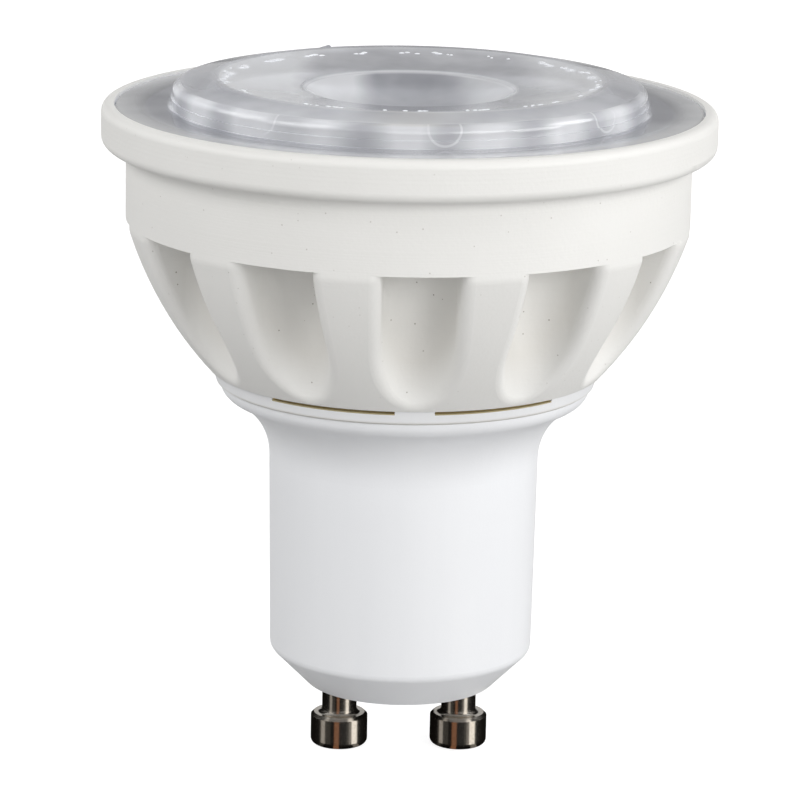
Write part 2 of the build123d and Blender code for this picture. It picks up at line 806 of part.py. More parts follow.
# Fuse resistor: coated body lying across the driver board, its legs turned into the board
fuse_y = driver_front - push_fit - fuse_dia / 2
with BuildPart() as fuse:
    with BuildSketch(Plane.YZ.offset(fuse_x - fuse_length / 2)):
        with Locations((fuse_y, fuse_z)):
            Circle(fuse_dia / 2)
    extrude(amount=fuse_length)
    fillet(fuse.edges().filter_by(GeomType.CIRCLE), fuse_end_round)
    for side in (-1, 1):
        leg_x = fuse_x + side * fuse_leg_pitch / 2
        with BuildLine(mode=Mode.PRIVATE) as fuse_route:
            FilletPolyline(
                (fuse_x, fuse_y, fuse_z),
                (leg_x, fuse_y, fuse_z),
                (leg_x, leg_end_back, fuse_z),
                radius=leg_bend,
            )
        with BuildSketch(Plane((fuse_x, fuse_y, fuse_z), z_dir=(side, 0, 0))):
            Circle(leg_dia / 2)
        sweep(path=fuse_route.line)
finish(fuse.part, "fuse_resistor")


# Flat moulded package on the back of the driver board, with a row of feet along each side
def flat_package(width, length, height, x, z, feet, foot_pitch):
    with BuildPart() as package:
        with Locations((x, driver_back, z)):
            Box(width, height, length, align=(Align.CENTER, Align.MIN, Align.CENTER))
        chamfer(package.faces().sort_by(Axis.Y)[-1].edges(), pack_chamfer)
        for index in range(feet):
            with Locations((x, driver_back, z + (index - (feet - 1) / 2) * foot_pitch)):
                Box(
                    width + 2 * foot_reach,
                    foot_thickness,
                    foot_width,
                    align=(Align.CENTER, Align.MIN, Align.CENTER),
                )
    return package.part


chip_x = component_x - foot_reach - chip_width / 2
chip_z = driver_z + chip_rise
bridge_x = foot_reach + bridge_width / 2 - component_x
bridge_z = input_can_z - leg_drop + leg_dia / 2 + component_gap + bridge_length / 2
finish(
    flat_package(chip_width, chip_length, chip_height, chip_x, chip_z, chip_feet, chip_foot_pitch),
    "driver_chip",
)
finish(
    flat_package(
        bridge_width,
        bridge_length,
        bridge_height,
        bridge_x,
        bridge_z,
        bridge_feet,
        bridge_foot_pitch,
    ),
    "bridge_rectifier",
)

# Output diode, with one tab at each end, and a column of chip resistors
diode_x = diode_width / 2 - component_x
diode_z = driver_top_z - diode_headroom - diode_tab_reach - diode_length / 2
resistor_x = component_x - resistor_width / 2
resistor_z = driver_top_z - resistor_headroom - resistor_length / 2
with BuildPart() as diode:
    with Locations((diode_x, driver_back, diode_z)):
        Box(diode_width, diode_height, diode_length, align=(Align.CENTER, Align.MIN, Align.CENTER))
    chamfer(diode.faces().sort_by(Axis.Y)[-1].edges(), pack_chamfer)
    with Locations((diode_x, driver_back, diode_z)):
        Box(
            diode_tab_width,
            foot_thickness,
            diode_length + 2 * diode_tab_reach,
            align=(Align.CENTER, Align.MIN, Align.CENTER),
        )
finish(diode.part, "output_diode")

with BuildPart() as resistors:
    for index in range(resistor_count):
        with Locations((resistor_x, driver_back, resistor_z - index * resistor_pitch)):
            Box(
                resistor_width,
                resistor_height,
                resistor_length,
                align=(Align.CENTER, Align.MIN, Align.CENTER),
            )
finish(resistors.part, "chip_resistors")


# Insulated wire along straight runs joined by bends
def routed_wire(points, bends):
    with BuildPart() as wire:
        with BuildLine() as route:
            FilletPolyline(*points, radius=bends)
        with BuildSketch(Plane(points[0], z_dir=Vector(points[1]) - Vector(points[0]))):
            Circle(wire_dia / 2)
        sweep(path=route.line)
    return wire.part


# Mains wires from the bores of the pins to the driver board, leads from its top to the LED board
wire_foot_z = floor_z + pin_rivet_height - pin_bore_depth
landing_z = carrier_z + wire_dia / 2
for side, mains_label, lead_label in (
    (-1, "neutral_wire", "negative_lead"),
    (1, "live_wire", "positive_lead"),
):
    mains_x = side * pin_spacing / 2
    lead_x = side * lead_spacing / 2
    mains_route = [
        (mains_x, 0, wire_foot_z),
        (mains_x, 0, mains_wire_z),
        (mains_x, leg_end_back, mains_wire_z),
    ]
    lead_route = [
        (lead_x, driver_front, lead_z),
        (lead_x, lead_radius, lead_z),
        (lead_x, lead_radius, landing_z),
        (lead_x, lead_radius - lead_landing, landing_z),
    ]
    finish(routed_wire(mains_route, mains_bend), mains_label)
    finish(routed_wire(lead_route, [lead_bend, lead_landing_bend]), lead_label)
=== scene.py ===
import math
import random

import bmesh
import bpy
from mathutils import Matrix, Vector


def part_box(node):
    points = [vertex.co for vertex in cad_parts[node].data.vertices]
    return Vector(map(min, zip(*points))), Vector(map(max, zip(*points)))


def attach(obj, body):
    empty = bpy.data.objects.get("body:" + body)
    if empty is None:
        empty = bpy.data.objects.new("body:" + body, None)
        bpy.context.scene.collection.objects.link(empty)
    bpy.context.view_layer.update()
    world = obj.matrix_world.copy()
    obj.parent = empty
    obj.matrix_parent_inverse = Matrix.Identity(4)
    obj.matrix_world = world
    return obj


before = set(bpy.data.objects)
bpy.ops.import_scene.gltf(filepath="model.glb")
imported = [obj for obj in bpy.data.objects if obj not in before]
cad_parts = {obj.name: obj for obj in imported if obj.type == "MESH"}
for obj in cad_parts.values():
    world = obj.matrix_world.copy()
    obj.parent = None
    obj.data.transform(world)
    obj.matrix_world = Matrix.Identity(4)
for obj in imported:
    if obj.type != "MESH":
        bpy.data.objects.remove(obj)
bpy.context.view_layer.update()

mm = 0.001


# Two twist-lock pins, turned from brass rod, nickel plated and riveted over inside the base's floor.
# The cutter leaves fine rings round head and neck, and the plate is a little warm where brass shines through.
def put(tree, kind, sockets=None, **settings):
    node = tree.nodes.new("ShaderNode" + kind)
    for name, value in settings.items():
        setattr(node, name, value)
    for name, value in (sockets or {}).items():
        if isinstance(value, bpy.types.NodeSocket):
            tree.links.new(value, node.inputs[name])
        else:
            node.inputs[name].default_value = value
    return node


def open_group(name, sizes, results):
    group = bpy.data.node_groups.new(name, "ShaderNodeTree")
    for socket, value in sizes.items():
        made = group.interface.new_socket(socket, in_out="INPUT", socket_type="NodeSocketFloat")
        made.default_value = value
    for socket in results:
        group.interface.new_socket(socket, in_out="OUTPUT", socket_type="NodeSocketFloat")
    return group, group.nodes.new("NodeGroupInput"), group.nodes.new("NodeGroupOutput")


def start_finish(name, roughness, **constants):
    finish = bpy.data.materials.new(name)
    finish.use_nodes = True
    shader = finish.node_tree.nodes["Principled BSDF"]
    shader.inputs["Roughness"].default_value = roughness
    for socket, value in constants.items():
        shader.inputs[socket.replace("_", " ")].default_value = value
    return finish, finish.node_tree, shader


def place_group(tree, group, **sizes):
    node = put(tree, "Group", node_tree=group)
    for socket, value in sizes.items():
        node.inputs[socket].default_value = value
    return node.outputs


def shade_between(tree, shader, mask, low, high):
    mix = put(tree, "Mix", {"Factor": mask}, data_type="RGBA")
    mix.inputs["A"].default_value = (*low, 1)
    mix.inputs["B"].default_value = (*high, 1)
    tree.links.new(mix.outputs["Result"], shader.inputs["Base Color"])
    return mix.outputs["Result"]


def rough_between(tree, shader, mask, low, high):
    span = put(tree, "MapRange", {"Value": mask, "To Min": low, "To Max": high})
    tree.links.new(span.outputs["Result"], shader.inputs["Roughness"])


def relief(tree, shader, height, depth):
    bump = put(tree, "Bump", {"Height": height, "Distance": depth, "Strength": 1.0})
    tree.links.new(bump.outputs["Normal"], shader.inputs["Normal"])


def dress(finish, *names):
    for name in names:
        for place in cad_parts[name].material_slots:
            place.link = "OBJECT"
            place.material = finish


turned_rings, sizes, results = open_group("turned_rings", {"Pitch": 9000.0, "Wander": 40.0}, ["Ring", "Patch"])
where = put(turned_rings, "TexCoord").outputs["Object"]
axes = put(turned_rings, "SeparateXYZ", {"Vector": where})
along = put(turned_rings, "CombineXYZ", {"Z": axes.outputs["Z"]})
rings = put(turned_rings, "TexNoise", {"Vector": along.outputs[0], "Scale": sizes.outputs["Pitch"], "Detail": 3.0})
patch = put(turned_rings, "TexNoise", {"Vector": where, "Scale": sizes.outputs["Wander"], "Detail": 4.0})
turned_rings.links.new(rings.outputs["Fac"], results.inputs["Ring"])
turned_rings.links.new(patch.outputs["Fac"], results.inputs["Patch"])

nickel, tree, shader = start_finish("pin_nickel", 0.17, Metallic=1.0)
marks = place_group(tree, turned_rings, Pitch=11000.0, Wander=5000.0)
shade_between(tree, shader, marks["Patch"], (0.55, 0.50, 0.43), (0.84, 0.80, 0.74))
rough_between(tree, shader, marks["Ring"], 0.14, 0.26)
relief(tree, shader, marks["Ring"], 0.004 * mm)
dress(nickel, "live_pin", "neutral_pin")


# Base housing, moulded in one piece of cool white plastic with a satin skin from the tool.
# It shows faint flow streaks up the tube and a very fine grain.
moulded_skin, sizes, results = open_group(
    "moulded_skin", {"Grain": 5000.0, "Flow": 60.0}, ["Height", "Streak", "Cloud"]
)
where = put(moulded_skin, "TexCoord").outputs["Object"]
grain = put(moulded_skin, "TexNoise", {"Vector": where, "Scale": sizes.outputs["Grain"], "Detail": 2.0})
drawn = put(moulded_skin, "Mapping", {"Vector": where, "Scale": (1.0, 1.0, 0.08)})
streak = put(
    moulded_skin, "TexNoise", {"Vector": drawn.outputs[0], "Scale": sizes.outputs["Flow"], "Detail": 5.0}
)
cloud = put(moulded_skin, "TexNoise", {"Vector": where, "Scale": sizes.outputs["Flow"], "Detail": 3.0})
moulded_skin.links.new(grain.outputs["Fac"], results.inputs["Height"])
moulded_skin.links.new(streak.outputs["Fac"], results.inputs["Streak"])
moulded_skin.links.new(cloud.outputs["Fac"], results.inputs["Cloud"])

base_white, tree, shader = start_finish("base_white", 0.34, IOR=1.5)
skin = place_group(tree, moulded_skin, Grain=4200.0, Flow=260.0)
shade_between(tree, shader, skin["Streak"], (0.80, 0.81, 0.83), (0.86, 0.865, 0.88))
rough_between(tree, shader, skin["Cloud"], 0.28, 0.42)
relief(tree, shader, skin["Height"], 0.006 * mm)
dress(base_white, "base_housing")


# Mains wires, stranded copper in thin soft sleeves, pushed into the pins' bores and soldered to the driver board.
# The brown one is live and the blue one neutral, and the sleeves are slightly uneven in shade.
def sleeve(name, dark, light, *nodes):
    finish, tree, shader = start_finish(name, 0.42)
    skin = place_group(tree, moulded_skin, Grain=6500.0, Flow=500.0)
    shade_between(tree, shader, skin["Cloud"], dark, light)
    rough_between(tree, shader, skin["Height"], 0.34, 0.52)
    relief(tree, shader, skin["Height"], 0.008 * mm)
    dress(finish, *nodes)


sleeve("live_sleeve", (0.085, 0.035, 0.015), (0.14, 0.06, 0.03), "live_wire")
sleeve("neutral_sleeve", (0.02, 0.06, 0.22), (0.03, 0.09, 0.31), "neutral_wire")


# Driver board, glass-fibre laminate with green lacquer over copper tracks.
# It stands upright in two channels of the base, and its tracks show as paler, slightly raised runs.
laminate, tree, shader = start_finish("driver_laminate", 0.4)
where = put(tree, "TexCoord").outputs["Object"]
track = put(tree, "TexVoronoi", {"Vector": where, "Scale": 330.0, "Randomness": 0.6}, distance="MANHATTAN")
edge = put(tree, "ValToRGB", {"Fac": track.outputs["Distance"]})
edge.color_ramp.elements[0].position = 0.42
edge.color_ramp.elements[1].position = 0.46
shade_between(tree, shader, edge.outputs["Color"], (0.03, 0.16, 0.06), (0.06, 0.24, 0.09))
rough_between(tree, shader, edge.outputs["Color"], 0.36, 0.28)
relief(tree, shader, edge.outputs["Color"], 0.03 * mm)
dress(laminate, "driver_board")


# Electrolytic capacitors, aluminium cans in dark blue-black sleeves shrunk over them.
# The bead rolled near the foot shows through the sleeve, and tinned legs go into the driver board.
can_sleeve, tree, shader = start_finish("can_sleeve", 0.3)
skin = place_group(tree, moulded_skin, Grain=3000.0, Flow=300.0)
shade_between(tree, shader, skin["Streak"], (0.012, 0.014, 0.03), (0.03, 0.034, 0.06))
rough_between(tree, shader, skin["Cloud"], 0.22, 0.4)
relief(tree, shader, skin["Cloud"], 0.02 * mm)
dress(can_sleeve, "input_capacitor", "output_capacitor")


# Transformer: pressed ferrite core, nylon bobbin with pins, winding under yellow polyester tape.
# Ferrite is dull and faintly sparkling, and the tape's edge shows as a fine step round the winding.
ferrite, tree, shader = start_finish("ferrite", 0.6)
skin = place_group(tree, moulded_skin, Grain=9000.0, Flow=700.0)
shade_between(tree, shader, skin["Height"], (0.025, 0.024, 0.026), (0.07, 0.068, 0.07))
rough_between(tree, shader, skin["Height"], 0.45, 0.75)
relief(tree, shader, skin["Height"], 0.015 * mm)
dress(ferrite, "transformer_core", "choke_core")

nylon, tree, shader = start_finish("bobbin_nylon", 0.45)
skin = place_group(tree, moulded_skin, Grain=4000.0, Flow=400.0)
shade_between(tree, shader, skin["Cloud"], (0.02, 0.02, 0.022), (0.045, 0.045, 0.05))
rough_between(tree, shader, skin["Height"], 0.38, 0.55)
relief(tree, shader, skin["Height"], 0.01 * mm)
dress(nylon, "transformer_bobbin")

tape, tree, shader = start_finish("winding_tape", 0.28)
marks = place_group(tree, turned_rings, Pitch=3500.0, Wander=500.0)
shade_between(tree, shader, marks["Ring"], (0.62, 0.42, 0.04), (0.80, 0.58, 0.09))
rough_between(tree, shader, marks["Patch"], 0.2, 0.4)
relief(tree, shader, marks["Ring"], 0.05 * mm)
dress(tape, "transformer_winding")


# Choke winding, enamelled copper wire laid in close turns in the ferrite's waist.
# The turns show as fine ridges, and the enamel makes the copper darker and glossy.
enamel, tree, shader = start_finish("choke_copper", 0.25, Metallic=0.9)
where = put(tree, "TexCoord").outputs["Object"]
turns = put(
    tree, "TexWave", {"Vector": where, "Scale": 900.0, "Distortion": 0.4}, wave_type="BANDS", bands_direction="Z"
)
shade_between(tree, shader, turns.outputs["Fac"], (0.25, 0.07, 0.02), (0.62, 0.24, 0.10))
rough_between(tree, shader, turns.outputs["Fac"], 0.4, 0.2)
relief(tree, shader, turns.outputs["Fac"], 0.1 * mm)
dress(enamel, "choke_winding")


# Small packages on the driver board: black epoxy bodies, a ceramic surge disc, a lacquered fuse resistor.
# Each is moulded or dipped, so its skin is slightly uneven and its edges are soft.
def dipped_body(name, dark, light, gloss, *nodes):
    finish, tree, shader = start_finish(name, gloss)
    skin = place_group(tree, moulded_skin, Grain=5200.0, Flow=650.0)
    shade_between(tree, shader, skin["Cloud"], dark, light)
    rough_between(tree, shader, skin["Height"], gloss - 0.08, gloss + 0.12)
    relief(tree, shader, skin["Height"], 0.012 * mm)
    dress(finish, *nodes)


dipped_body("package_epoxy", (0.012, 0.012, 0.013), (0.03, 0.03, 0.032), 0.5,
            "driver_chip", "bridge_rectifier", "output_diode")
dipped_body("surge_coat", (0.02, 0.08, 0.24), (0.04, 0.13, 0.34), 0.35, "surge_disc")
dipped_body("fuse_coat", (0.10, 0.28, 0.16), (0.16, 0.38, 0.22), 0.32, "fuse_resistor")
dipped_body("resistor_ceramic", (0.015, 0.015, 0.017), (0.05, 0.05, 0.055), 0.4, "chip_resistors")


# Driver cup, a white moulded ring whose flange shows between base and heat sink.
# Its shallow vent slots are painted brown on their lips and warm gold inside: painted shade of the gap, with the
# warm light that comes through the plastic, and its foot turns a little grey towards the joint to the base.
def reckon(tree, operation, *terms, **settings):
    return put(tree, "Math", dict(enumerate(terms)), operation=operation, **settings).outputs[0]


def ramp(tree, value, start, stop, low, high, **settings):
    ends = {"Value": value, "From Min": start, "From Max": stop, "To Min": low, "To Max": high}
    return put(tree, "MapRange", ends, **settings).outputs["Result"]


def tint(tree, mask, under, colour):
    mix = put(tree, "Mix", {"Factor": mask, "A": under}, data_type="RGBA")
    mix.inputs["B"].default_value = (*colour, 1)
    return mix.outputs["Result"]


turned_place, sizes, results = open_group("turned_place", {}, ["Radius", "Height", "Bearing"])
where = put(turned_place, "TexCoord").outputs["Object"]
scaled = put(turned_place, "VectorMath", {0: where, "Scale": 1 / mm}, operation="SCALE")
axes = put(turned_place, "SeparateXYZ", {"Vector": scaled.outputs["Vector"]})
flat = put(turned_place, "CombineXYZ", {"X": axes.outputs["X"], "Y": axes.outputs["Y"]})
radius = put(turned_place, "VectorMath", {0: flat.outputs[0]}, operation="LENGTH")
front = reckon(turned_place, "MULTIPLY", axes.outputs["Y"], -1.0)
bearing = reckon(turned_place, "ARCTAN2", axes.outputs["X"], front)
turned_place.links.new(radius.outputs["Value"], results.inputs["Radius"])
turned_place.links.new(axes.outputs["Z"], results.inputs["Height"])
turned_place.links.new(bearing, results.inputs["Bearing"])

slot_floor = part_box("heat_sink")[0][2] / mm - 0.29
slot_mouth = 15.65
slot_pad = math.radians(11.5)
slot_span = math.radians(39.2)
lip_height = 0.1
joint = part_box("base_housing")[1][2] / mm
grey_full, grey_gone = joint + 0.08, joint + 0.3
foot_grey_colour, gap_shade_colour, gap_glow_colour = (0.58, 0.56, 0.51), (0.40, 0.33, 0.18), (0.88, 0.70, 0.34)
cup_white, tree, shader = start_finish("cup_white", 0.36, IOR=1.5)
skin = place_group(tree, moulded_skin, Grain=4200.0, Flow=260.0)
white = shade_between(tree, shader, skin["Cloud"], (0.785, 0.79, 0.80), (0.845, 0.85, 0.86))
place = place_group(tree, turned_place)
# The foot turns grey towards the joint to the base.
foot_greyed = tint(tree, ramp(tree, place["Height"], grey_full, grey_gone, 0.85, 0.0), white, foot_grey_colour)
# Painted shade of the vent slots: dark brown on their lips, and warm gold inside for the light through the
# plastic.
quarter = reckon(tree, "PINGPONG", place["Bearing"], math.pi / 2)
along = reckon(tree, "COMPARE", quarter, (slot_pad + slot_span) / 2, slot_span / 2)
lip = reckon(tree, "GREATER_THAN", place["Height"], slot_floor - lip_height)
gap_shaded = tint(tree, reckon(tree, "MULTIPLY", along, lip), foot_greyed, gap_shade_colour)
inside = reckon(tree, "LESS_THAN", place["Radius"], slot_mouth)
above = reckon(tree, "GREATER_THAN", place["Height"], slot_floor)
gap_lit = tint(tree, reckon(tree, "MULTIPLY", inside, above), gap_shaded, gap_glow_colour)
tree.links.new(gap_lit, shader.inputs["Base Color"])
rough_between(tree, shader, skin["Cloud"], 0.3, 0.44)
relief(tree, shader, skin["Height"], 0.006 * mm)
dress(cup_white, "driver_cup")


# Screws, zinc-plated steel with slotted pan heads, two for the driver cup and two for the LED board.
# The plate is bright with a faint blue and yellow cast, brushed round by the die that formed the heads.
zinc, tree, shader = start_finish("screw_zinc", 0.3, Metallic=1.0)
marks = place_group(tree, turned_rings, Pitch=6000.0, Wander=1400.0)
shade_between(tree, shader, marks["Patch"], (0.50, 0.50, 0.52), (0.70, 0.69, 0.62))
rough_between(tree, shader, marks["Patch"], 0.22, 0.42)
relief(tree, shader, marks["Ring"], 0.006 * mm)
dress(zinc, "cup_screws", "board_screws")


# Heat sink, die-cast aluminium with a warm white powder coat, fluted by twelve pockets.
# The coat has a fine stipple, faint lines round the band from the turned die, and a few dark pits.
# Deep in the lower pockets the coat is painted darker as painted shade, and the seats of lens and boards are left
# bare.
line_share = 1.1
pit_size, pit_rarity = 0.095, 0.72
powder_coat, sizes, results = open_group(
    "powder_coat", {"Stipple": 3200.0, "Lines": 5200.0, "Pits": 1500.0}, ["Height", "Pit", "Cloud"]
)
where = put(powder_coat, "TexCoord").outputs["Object"]
axes = put(powder_coat, "SeparateXYZ", {"Vector": where})
along = put(powder_coat, "CombineXYZ", {"Z": axes.outputs["Z"]})
stipple = put(powder_coat, "TexNoise", {"Vector": where, "Scale": sizes.outputs["Stipple"], "Detail": 3.0})
lines = put(powder_coat, "TexNoise", {"Vector": along.outputs[0], "Scale": sizes.outputs["Lines"], "Detail": 2.0})
height = reckon(powder_coat, "MULTIPLY_ADD", lines.outputs["Fac"], line_share, stipple.outputs["Fac"])
pits = put(powder_coat, "TexVoronoi", {"Vector": where, "Scale": sizes.outputs["Pits"], "Randomness": 1.0})
small = reckon(powder_coat, "LESS_THAN", pits.outputs["Distance"], pit_size)
chosen = put(powder_coat, "SeparateColor", {"Color": pits.outputs["Color"]})
rare = reckon(powder_coat, "GREATER_THAN", chosen.outputs["Red"], pit_rarity)
pit = reckon(powder_coat, "MULTIPLY", small, rare)
cloud = put(powder_coat, "TexNoise", {"Vector": where, "Scale": 70.0, "Detail": 5.0})
powder_coat.links.new(height, results.inputs["Height"])
powder_coat.links.new(pit, results.inputs["Pit"])
powder_coat.links.new(cloud.outputs["Fac"], results.inputs["Cloud"])

foot_height, foot_radius = 32.65, 16.6
band_height, band_radius = 44.5, 23.5
seats = ((30.0, 15.7), (45.3, 22.2), (51.5, 23.97))
seat_top = 53.9
pool_start, pool_full, pool_least = 0.2, 1.2, 0.22
shade_start, shade_full, shade_most = 0.7, 2.4, 0.32
shade_bottom, shade_top = 37.0, 44.0
pit_colour, pocket_shade_colour, bare_colour = (0.34, 0.31, 0.27), (0.62, 0.585, 0.52), (0.52, 0.52, 0.53)
coat_white, tree, shader = start_finish("coat_white", 0.5)
coat = place_group(tree, powder_coat)
white = shade_between(tree, shader, coat["Cloud"], (0.76, 0.752, 0.726), (0.83, 0.823, 0.80))
rough_between(tree, shader, coat["Cloud"], 0.46, 0.6)
relief(tree, shader, coat["Height"], 0.014 * mm)
place = place_group(tree, turned_place)
side = ramp(tree, place["Height"], foot_height, band_height, foot_radius, band_radius)
depth = reckon(tree, "SUBTRACT", side, place["Radius"])
pooled = ramp(tree, depth, pool_start, pool_full, pool_least, 1.0)
pitted = tint(tree, reckon(tree, "MULTIPLY", coat["Pit"], pooled), white, pit_colour)
# Painted shade: darker deep in the pockets, fading out towards the band.
sunk_shade = ramp(tree, depth, shade_start, shade_full, 0.0, shade_most)
low = ramp(tree, place["Height"], shade_bottom, shade_top, 1.0, 0.0)
pocket_shaded = tint(tree, reckon(tree, "MULTIPLY", sunk_shade, low), pitted, pocket_shade_colour)
bare = 0.0
for lowest, widest in seats:
    above = reckon(tree, "GREATER_THAN", place["Height"], lowest)
    within = reckon(tree, "LESS_THAN", place["Radius"], widest)
    bare = reckon(tree, "MAXIMUM", bare, reckon(tree, "MULTIPLY", above, within))
bare = reckon(tree, "MULTIPLY", bare, reckon(tree, "LESS_THAN", place["Height"], seat_top))
tree.links.new(tint(tree, bare, pocket_shaded, bare_colour), shader.inputs["Base Color"])
tree.links.new(bare, shader.inputs["Metallic"])
dress(coat_white, "heat_sink")


# Thermal pad, a soft grey silicone sheet under the LED board, filled with ceramic powder.
# It is dull, with a fine speckle from the filler.
pad_grey, tree, shader = start_finish("pad_silicone", 0.75)
skin = place_group(tree, moulded_skin, Grain=7000.0, Flow=900.0)
shade_between(tree, shader, skin["Height"], (0.26, 0.28, 0.30), (0.40, 0.42, 0.44))
rough_between(tree, shader, skin["Height"], 0.65, 0.85)
relief(tree, shader, skin["Height"], 0.02 * mm)
dress(pad_grey, "thermal_pad")


# LED board, an aluminium disc with white lacquer over its copper.
# The lacquer is glossy and lies a little higher over the copper fields.
led_mask, tree, shader = start_finish("led_mask", 0.3)
skin = place_group(tree, moulded_skin, Grain=5000.0, Flow=300.0)
shade_between(tree, shader, skin["Cloud"], (0.74, 0.745, 0.75), (0.82, 0.82, 0.82))
rough_between(tree, shader, skin["Cloud"], 0.24, 0.4)
relief(tree, shader, skin["Height"], 0.01 * mm)
dress(led_mask, "led_board")


# Emitter: a square white ceramic carrier with a round field of silicone full of phosphor.
# The field is a pale, cloudy yellow when the lamp is off, with a faint grid of chips under it.
ceramic, tree, shader = start_finish("carrier_ceramic", 0.42)
skin = place_group(tree, moulded_skin, Grain=8000.0, Flow=500.0)
shade_between(tree, shader, skin["Height"], (0.70, 0.70, 0.67), (0.80, 0.80, 0.77))
rough_between(tree, shader, skin["Cloud"], 0.34, 0.5)
relief(tree, shader, skin["Height"], 0.008 * mm)
dress(ceramic, "chip_carrier")

phosphor, tree, shader = start_finish("phosphor_field", 0.35)
where = put(tree, "TexCoord").outputs["Object"]
chips = put(tree, "TexVoronoi", {"Vector": where, "Scale": 700.0, "Randomness": 0.1}, distance="CHEBYCHEV")
shade_between(tree, shader, chips.outputs["Distance"], (0.66, 0.50, 0.16), (0.78, 0.64, 0.28))
rough_between(tree, shader, chips.outputs["Distance"], 0.28, 0.42)
relief(tree, shader, chips.outputs["Distance"], 0.02 * mm)
dress(phosphor, "phosphor_disc")


# Leads from the driver board to the LED board, red for positive and black for negative.
# They come up through a slot and are soldered flat beside the emitter.
sleeve("positive_sleeve", (0.28, 0.015, 0.012), (0.40, 0.03, 0.022), "positive_lead")
sleeve("negative_sleeve", (0.012, 0.012, 0.013), (0.03, 0.03, 0.032), "negative_lead")


# Lens, clear acrylic moulded in one piece: flange, raised drum with a dished face, faceted cone below.
# The face is polished and the cone is frosted. The lens's colour is painted light: bright and dark rings by
# radius, painted highlights left and right of the bowl and drum, a painted sheen at the flange's far left, and a
# front lighter than the back. Eighteen petals and eight small scallops are painted light and shade on the drum's
# wall, where the flats of the cone begin.
lens_reach = 25.0
# Painted light by radius: bright painted rings at the bowl's rim and the flange's outer edge, darker painted bands
# between.
painted_light_by_radius = (
    (0.0, 0.31), (8.2, 0.33), (8.5, 1.00), (8.9, 0.40), (10.5, 0.36), (14.0, 0.46), (15.4, 0.70), (16.4, 0.22),
    (18.2, 0.30), (18.9, 0.46), (19.5, 0.44), (19.7, 0.00), (21.2, 0.05), (22.4, 0.62), (24.0, 1.00),
)
# Painted highlights: lighter lobes left and right in the bowl and on the drum.
painted_lobes = (
    (0.0, 8.4, 3.0, 6.4, 0.56),
    (0.0, 8.4, -2.2, -5.2, 0.80),
    (12.2, 3.3, 8.0, 12.0, 0.40),
    (12.2, 3.3, -6.5, -10.5, 0.80),
)
flange_middle, flange_half, flange_gain = 21.9, 2.2, 0.26
sheen_start, sheen_full, sheen_gain = -1.75, -2.15, 0.55
brow_middle, brow_half, brow_back, brow_front = 17.0, 1.6, -0.2, 0.36
wall_middle, wall_half, wall_gain = 19.1, 0.55, 0.36
left_start, left_full, left_gain = -0.3, -0.8, 0.5
petal_phase, petal_share = 1.1, 0.75
scallop_phase, scallop_pitch, scallop_gain = 0.385, 15.1, 0.32
scallop_height, scallop_radius, scallop_line = 55.75, 1.3, 0.09
drift_gain = 0.14
face_bottom = 52.7
lens_painted_light, sizes, results = open_group("lens_painted_light", {"Petals": 18.0}, ["Tone", "Face"])
place = place_group(lens_painted_light, turned_place)
rings = put(lens_painted_light, "ValToRGB", {"Fac": reckon(lens_painted_light, "DIVIDE", place["Radius"], lens_reach)})
stops = rings.color_ramp.elements
while len(stops) < len(painted_light_by_radius):
    stops.new(0.5)
for stop, (radius, tone) in zip(stops, painted_light_by_radius):
    stop.position = radius / lens_reach
    stop.color = (tone, tone, tone, 1)
tone = rings.outputs["Color"]
across = reckon(lens_painted_light, "MULTIPLY", reckon(lens_painted_light, "SINE", place["Bearing"]), place["Radius"])
for middle, width, near, far, gain in painted_lobes:
    zone = reckon(lens_painted_light, "COMPARE", place["Radius"], middle, width)
    lobe = ramp(lens_painted_light, across, near, far, 0.0, gain, interpolation_type="SMOOTHSTEP")
    tone = reckon(lens_painted_light, "MULTIPLY_ADD", zone, lobe, tone)

# Painted light: the flange lighter at the front, a painted sheen at its far left, the brow lighter in front and
# darker behind.
ahead = reckon(lens_painted_light, "COSINE", place["Bearing"])
flange = reckon(lens_painted_light, "COMPARE", place["Radius"], flange_middle, flange_half)
nearer = reckon(lens_painted_light, "MULTIPLY", flange, ahead)
tone = reckon(lens_painted_light, "MULTIPLY_ADD", nearer, flange_gain, tone)
sheen = ramp(lens_painted_light, place["Bearing"], sheen_start, sheen_full, 0.0, sheen_gain)
tone = reckon(lens_painted_light, "MULTIPLY_ADD", flange, sheen, tone)
behind = ramp(lens_painted_light, ahead, -0.5, -1.0, 0.0, brow_back)
before = ramp(lens_painted_light, ahead, 0.5, 0.95, 0.0, brow_front)
brow = reckon(lens_painted_light, "COMPARE", place["Radius"], brow_middle, brow_half)
tone = reckon(lens_painted_light, "MULTIPLY_ADD", brow, reckon(lens_painted_light, "ADD", behind, before), tone)

# Painted light and shade on the drum's wall: petals and scallops for the cone's flats, lighter to the front and
# the left.
wall = reckon(lens_painted_light, "COMPARE", place["Radius"], wall_middle, wall_half)
wave = reckon(lens_painted_light, "MULTIPLY_ADD", place["Bearing"], sizes.outputs["Petals"], petal_phase)
petal = reckon(lens_painted_light, "COSINE", wave)
left = ramp(lens_painted_light, place["Bearing"], left_start, left_full, 0.0, left_gain)
lit = reckon(lens_painted_light, "MULTIPLY_ADD", petal, petal_share, reckon(lens_painted_light, "ADD", ahead, left))
tone = reckon(lens_painted_light, "MULTIPLY_ADD", reckon(lens_painted_light, "MULTIPLY", lit, wall), wall_gain, tone)
eighths = reckon(lens_painted_light, "MULTIPLY_ADD", place["Bearing"], 4 / math.pi, scallop_phase)
eighth = reckon(lens_painted_light, "FRACT", eighths)
beside = reckon(lens_painted_light, "MULTIPLY_ADD", eighth, scallop_pitch, -scallop_pitch / 2)
over = reckon(lens_painted_light, "SUBTRACT", place["Height"], scallop_height)
spot = put(lens_painted_light, "CombineXYZ", {"X": beside, "Y": over})
